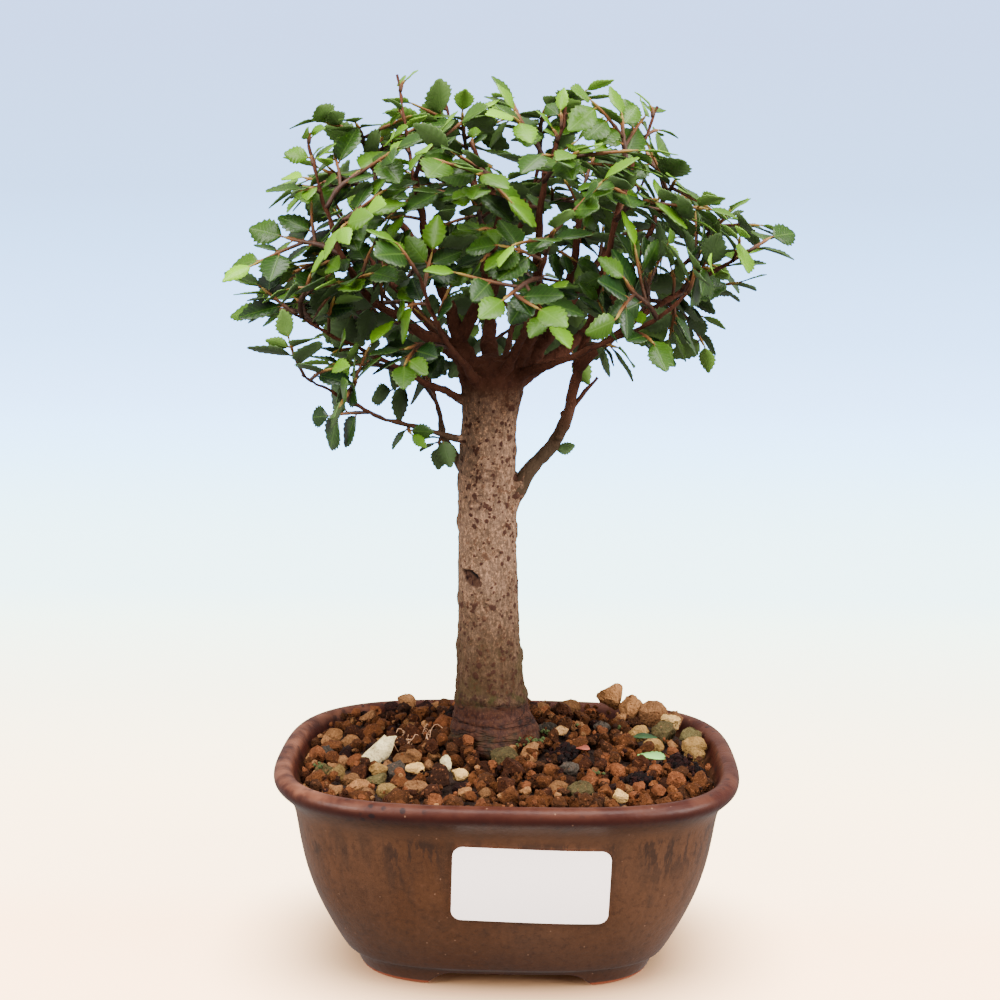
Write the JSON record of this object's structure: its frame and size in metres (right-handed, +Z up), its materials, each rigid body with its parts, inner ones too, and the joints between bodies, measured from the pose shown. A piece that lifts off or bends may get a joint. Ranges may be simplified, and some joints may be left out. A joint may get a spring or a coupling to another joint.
{
  "type": "potted bonsai tree",
  "caption": "Small Chinese elm bonsai with a straight trunk and a round leafy crown, in a rounded rectangular glazed pot on corner feet.",
  "frame": {"origin": "centre of the bounding box in plan, on the surface that the pot's feet stand on", "axes": "+Z up, +X to the right seen from the front, -Y towards the front, where the tag is"},
  "size_m": [0.1816, 0.1566, 0.2885],
  "materials": {
    "glaze": "satin brown glaze with blue-grey runs",
    "soil": "matte grains of clay, pumice and humus",
    "plastic_net": "matte black",
    "bark": "smooth grey-beige bark with raised pores",
    "leaf": "thin satin green leaves",
    "paper": "blank satin white"
  },
  "bodies": {
    "root": {"drain_mesh_left": "plastic_net", "drain_mesh_right": "plastic_net", "fallen_leaf": "leaf", "pot": "glaze", "soil": "soil", "spray_01": "leaf", "spray_02": "leaf", "spray_03": "leaf", "spray_04": "leaf", "spray_05": "leaf", "spray_06": "leaf", "spray_07": "leaf", "spray_08": "leaf", "spray_09": "leaf", "spray_10": "leaf", "spray_11": "leaf", "spray_12": "leaf", "spray_13": "leaf", "spray_14": "leaf", "spray_15": "leaf", "spray_16": "leaf", "spray_17": "leaf", "spray_18": "leaf", "spray_19": "leaf", "spray_20": "leaf", "spray_21": "leaf", "spray_22": "leaf", "spray_23": "leaf", "spray_24": "leaf", "spray_25": "leaf", "spray_26": "leaf", "spray_27": "leaf", "spray_28": "leaf", "spray_29": "leaf", "spray_30": "leaf", "spray_31": "leaf", "spray_32": "leaf", "spray_33": "leaf", "spray_34": "leaf", "spray_35": "leaf", "spray_36": "leaf", "spray_37": "leaf", "spray_38": "leaf", "spray_39": "leaf", "spray_40": "leaf", "spray_41": "leaf", "spray_42": "leaf", "spray_43": "leaf", "spray_44": "leaf", "spray_45": "leaf", "spray_46": "leaf", "spray_47": "leaf", "spray_48": "leaf", "spray_49": "leaf", "spray_50": "leaf", "tag": "paper", "tree_wood": "bark"}
  },
  "joints": []
}
